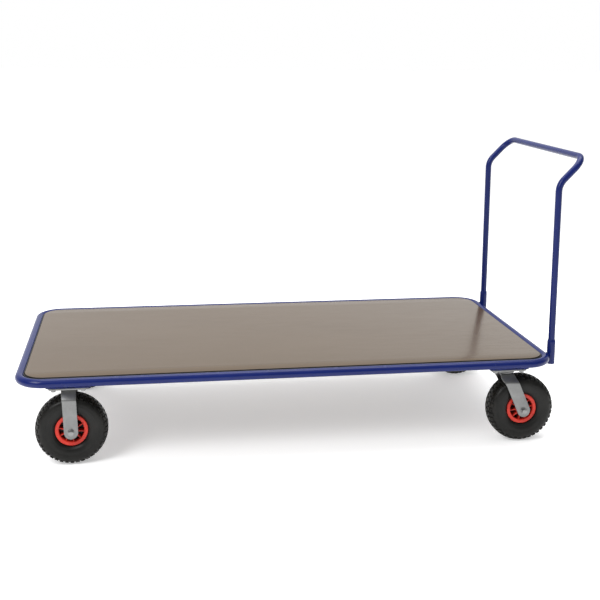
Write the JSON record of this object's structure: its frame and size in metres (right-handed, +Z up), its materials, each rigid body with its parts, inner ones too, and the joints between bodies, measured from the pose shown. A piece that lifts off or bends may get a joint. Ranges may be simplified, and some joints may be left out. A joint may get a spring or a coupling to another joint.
{
  "type": "platform trolley",
  "caption": "Platform trolley: flat deck in a tubular frame, plug-in push handle at one end, two fixed and two swivel castors with pneumatic tyres.",
  "frame": {"origin": "on the floor, under the middle of the whole trolley (deck and overhanging handle)", "axes": "+X along the deck towards the push handle, +Y across the deck to the pusher's right, +Z up"},
  "size_m": [2.1282, 1, 1.1087],
  "materials": {
    "frame_paint": "gloss ultramarine blue powder coat on steel tube",
    "handle_paint": "gloss ultramarine blue powder coat on steel tube",
    "deck_film_faced_board": "smooth brown phenolic film-faced plywood, satin",
    "zinc_plated_steel": "bright zinc plating, satin, slightly mottled",
    "zinc_fasteners": "bright zinc plating, satin",
    "bare_steel": "turned steel, lightly greased",
    "tyre_rubber": "black rubber, matte, slightly dusty",
    "red_rim_plastic": "red moulded polypropylene, satin"
  },
  "bodies": {
    "chassis": {"frame_tube_front": "frame_paint", "frame_tube_rear": "frame_paint", "cross_member_front": "frame_paint", "cross_member_rear": "frame_paint", "cross_member_middle_1": "frame_paint", "cross_member_middle_2": "frame_paint", "cross_member_middle_3": "frame_paint", "deck_board": "deck_film_faced_board", "handle_socket_left": "handle_paint", "handle_socket_right": "handle_paint", "mounting_plate_fixed_left": "frame_paint", "castor_plate_fixed_left": "zinc_plated_steel", "fork_fixed_left": "zinc_plated_steel", "axle_sleeve_fixed_left": "bare_steel", "axle_bolt_fixed_left": "zinc_fasteners", "axle_nut_fixed_left": "zinc_fasteners", "mounting_plate_swivel_left": "frame_paint", "castor_plate_swivel_left": "zinc_plated_steel", "swivel_race_left": "zinc_plated_steel", "kingpin_left": "bare_steel", "mounting_plate_fixed_right": "frame_paint", "castor_plate_fixed_right": "zinc_plated_steel", "fork_fixed_right": "zinc_plated_steel", "axle_sleeve_fixed_right": "bare_steel", "axle_bolt_fixed_right": "zinc_fasteners", "axle_nut_fixed_right": "zinc_fasteners", "mounting_plate_swivel_right": "frame_paint", "castor_plate_swivel_right": "zinc_plated_steel", "swivel_race_right": "zinc_plated_steel", "kingpin_right": "bare_steel"},
    "handle": {"push_handle": "handle_paint"},
    "wheel_fixed_left": {"tyre_fixed_left": "tyre_rubber", "rim_fixed_left": "red_rim_plastic", "roller_bearing_fixed_left": "bare_steel"},
    "swivel_left": {"fork_swivel_left": "zinc_plated_steel", "axle_sleeve_swivel_left": "bare_steel", "axle_bolt_swivel_left": "zinc_fasteners", "axle_nut_swivel_left": "zinc_fasteners"},
    "wheel_swivel_left": {"tyre_swivel_left": "tyre_rubber", "rim_swivel_left": "red_rim_plastic", "roller_bearing_swivel_left": "bare_steel"},
    "wheel_fixed_right": {"tyre_fixed_right": "tyre_rubber", "rim_fixed_right": "red_rim_plastic", "roller_bearing_fixed_right": "bare_steel"},
    "swivel_right": {"fork_swivel_right": "zinc_plated_steel", "axle_sleeve_swivel_right": "bare_steel", "axle_bolt_swivel_right": "zinc_fasteners", "axle_nut_swivel_right": "zinc_fasteners"},
    "wheel_swivel_right": {"tyre_swivel_right": "tyre_rubber", "rim_swivel_right": "red_rim_plastic", "roller_bearing_swivel_right": "bare_steel"}
  },
  "joints": [
    {"name": "handle_lift_out", "type": "slide", "parent": "chassis", "child": "handle", "axis": [0, 0, 1], "range_m": [0, 0.12]},
    {"name": "wheel_fixed_left_spin", "type": "hinge", "parent": "chassis", "child": "wheel_fixed_left", "pos_m": [-0.8691, -0.399, 0.13], "axis": [0, 1, 0], "continuous": true},
    {"name": "castor_left_swivel", "type": "hinge", "parent": "chassis", "child": "swivel_left", "pos_m": [0.7634, -0.399, 0.279], "axis": [0, 0, 1], "continuous": true},
    {"name": "wheel_swivel_left_spin", "type": "hinge", "parent": "swivel_left", "child": "wheel_swivel_left", "pos_m": [0.8264, -0.399, 0.13], "axis": [0, 1, 0], "continuous": true},
    {"name": "wheel_fixed_right_spin", "type": "hinge", "parent": "chassis", "child": "wheel_fixed_right", "pos_m": [-0.8691, 0.399, 0.13], "axis": [0, 1, 0], "continuous": true},
    {"name": "castor_right_swivel", "type": "hinge", "parent": "chassis", "child": "swivel_right", "pos_m": [0.7634, 0.399, 0.279], "axis": [0, 0, 1], "continuous": true},
    {"name": "wheel_swivel_right_spin", "type": "hinge", "parent": "swivel_right", "child": "wheel_swivel_right", "pos_m": [0.8264, 0.399, 0.13], "axis": [0, 1, 0], "continuous": true}
  ]
}
